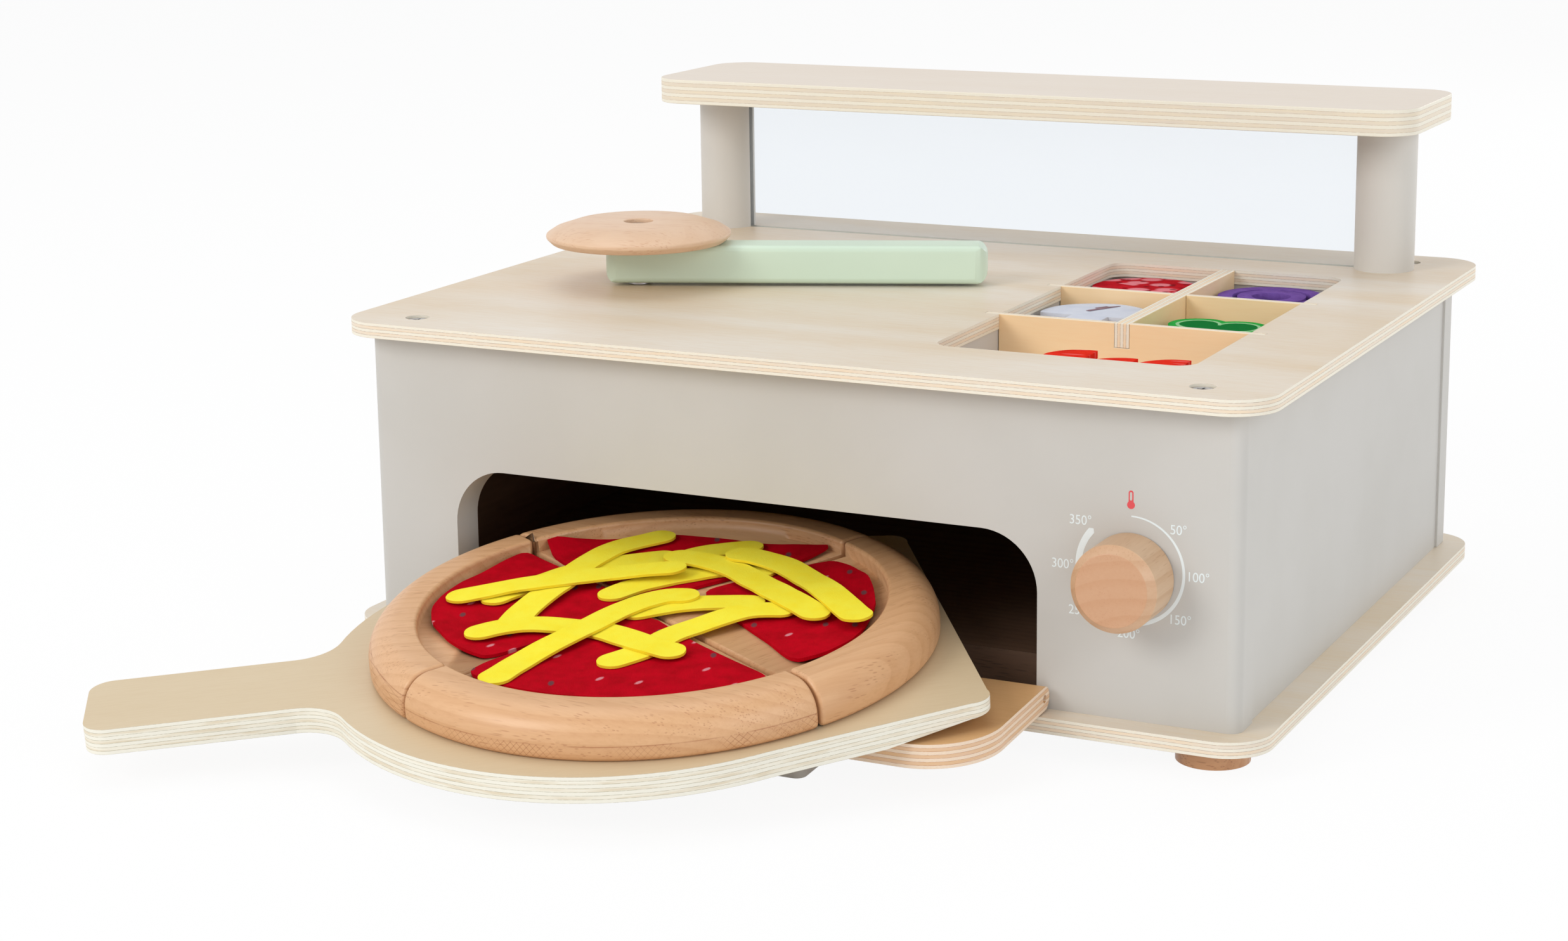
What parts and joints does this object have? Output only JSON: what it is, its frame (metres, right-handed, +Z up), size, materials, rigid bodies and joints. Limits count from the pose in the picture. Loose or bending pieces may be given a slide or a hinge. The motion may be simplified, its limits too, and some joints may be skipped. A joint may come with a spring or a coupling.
{
  "type": "toy pizza oven",
  "caption": "Wooden toy pizza oven with serving shelf, topping bay, fold-down door, knob, peel with a sliced felt-topped pizza, and a wheel cutter.",
  "frame": {"origin": "on the table under the middle of the box's footprint", "axes": "+Z up, the door side faces -Y, +X to the right seen from the front"},
  "size_m": [0.3975, 0.475, 0.2096],
  "materials": {
    "birch_ply": "smooth clear-lacquered birch plywood",
    "dark_paint": "matt dark brown stain on wood",
    "grey_paint": "matt warm light grey paint on wood",
    "door_ply": "plywood with a warm brown lacquer",
    "beech": "satin oiled beech",
    "peel_ply": "satin birch plywood",
    "wheel_wood": "satin beech",
    "mint_paint": "satin mint paint on wood",
    "steel": "bright zinc",
    "clear": "clear acrylic sheet",
    "red_felt": "red wool felt with grey specks",
    "yellow_felt": "yellow wool felt",
    "pads": "hook-and-loop dots",
    "salami_felt": "dark red felt with pink spots",
    "onion_felt": "purple felt",
    "mushroom_felt": "off-white felt",
    "pepper_felt": "green felt",
    "tomato_felt": "orange-red felt"
  },
  "bodies": {
    "oven": {"base_plate": "birch_ply", "feet": "beech", "foot_screws": "steel", "oven_floor": "dark_paint", "front_panel": "grey_paint", "back_panel": "grey_paint", "left_panel": "grey_paint", "right_panel": "grey_paint", "panel_dowels": "beech", "top_plate": "birch_ply", "top_screws": "steel", "bay_floor": "birch_ply", "bay_wall_left": "grey_paint", "bay_wall_right": "grey_paint", "bay_wall_front": "grey_paint", "bay_wall_rear": "grey_paint", "divider_long": "birch_ply", "divider_front": "birch_ply", "divider_rear": "birch_ply", "post_left": "grey_paint", "post_right": "grey_paint", "post_dowels": "beech", "clear_pane": "clear", "serving_shelf": "birch_ply", "hinge_eyes": "steel", "eye_screws": "steel"},
    "door": {"door_board": "door_ply", "hinge_pins": "steel", "door_grip": "grey_paint", "grip_screws": "steel"},
    "knob": {"knob": "beech", "knob_spindle": "beech", "knob_washer": "steel", "knob_collar": "beech"},
    "peel": {"peel": "peel_ply"},
    "front_slice": {"slice_front": "beech", "sauce_front": "red_felt", "pads_front": "pads"},
    "right_slice": {"slice_right": "beech", "sauce_right": "red_felt", "pads_right": "pads"},
    "rear_slice": {"slice_rear": "beech", "sauce_rear": "red_felt", "pads_rear": "pads"},
    "left_slice": {"slice_left": "beech", "sauce_left": "red_felt", "pads_left": "pads"},
    "cheese": {"cheese_strips": "yellow_felt"},
    "cutter": {"cutter_handle": "mint_paint", "cutter_pin": "steel", "pin_washer": "steel", "pin_cap": "steel"},
    "wheel": {"cutter_wheel": "wheel_wood"},
    "salami": {"salami": "salami_felt"},
    "onion": {"onion": "onion_felt"},
    "mushroom": {"mushroom": "mushroom_felt"},
    "pepper": {"pepper": "pepper_felt"},
    "tomato": {"tomato": "tomato_felt"}
  },
  "joints": [
    {"name": "door_hinge", "type": "hinge", "parent": "oven", "child": "door", "pos_m": [-0.019, -0.1479, 0.0212], "axis": [-1, 0, 0], "range_deg": [0, 93.3]},
    {"name": "peel_slide", "type": "slide", "parent": "oven", "child": "peel", "axis": [0, -0.9659, 0.2588], "range_m": [0, 0.407]},
    {"name": "knob_turn", "type": "hinge", "parent": "oven", "child": "knob", "pos_m": [0.1395, -0.143, 0.0691], "axis": [0, -1, 0], "continuous": true},
    {"name": "front_slice_slide", "type": "slide", "parent": "peel", "child": "front_slice", "axis": [0.284, -0.9535, -0.1004], "range_m": [0, 0.03]},
    {"name": "right_slice_slide", "type": "slide", "parent": "peel", "child": "right_slice", "axis": [0.9588, 0.2825, 0.0297], "range_m": [0, 0.025]},
    {"name": "rear_slice_slide", "type": "slide", "parent": "peel", "child": "rear_slice", "axis": [-0.284, 0.9535, 0.1004], "range_m": [0, 0.025]},
    {"name": "left_slice_slide", "type": "slide", "parent": "peel", "child": "left_slice", "axis": [-0.9588, -0.2825, -0.0297], "range_m": [0, 0.014]},
    {"name": "cheese_lift", "type": "slide", "parent": "peel", "child": "cheese", "axis": [0, 0, 1], "range_m": [0, 0.014]},
    {"name": "cutter_lift", "type": "slide", "parent": "oven", "child": "cutter", "axis": [0, 0, 1], "range_m": [0, 0.12]},
    {"name": "wheel_spin", "type": "hinge", "parent": "cutter", "child": "wheel", "pos_m": [-0.1182, -0.0347, 0.16], "axis": [0, 0, 1], "continuous": true},
    {"name": "salami_lift", "type": "slide", "parent": "oven", "child": "salami", "axis": [0, 0, 1], "range_m": [0, 0.03]},
    {"name": "onion_lift", "type": "slide", "parent": "oven", "child": "onion", "axis": [0, 0, 1], "range_m": [0, 0.03]},
    {"name": "mushroom_lift", "type": "slide", "parent": "oven", "child": "mushroom", "axis": [0, 0, 1], "range_m": [0, 0.05]},
    {"name": "pepper_lift", "type": "slide", "parent": "oven", "child": "pepper", "axis": [0, 0, 1], "range_m": [0, 0.05]},
    {"name": "tomato_lift", "type": "slide", "parent": "oven", "child": "tomato", "axis": [0, 0, 1], "range_m": [0, 0.05]}
  ],
  "couplings": [
    {"joint": "door_hinge", "follows": "peel_slide", "rad_per_m": 4}
  ]
}
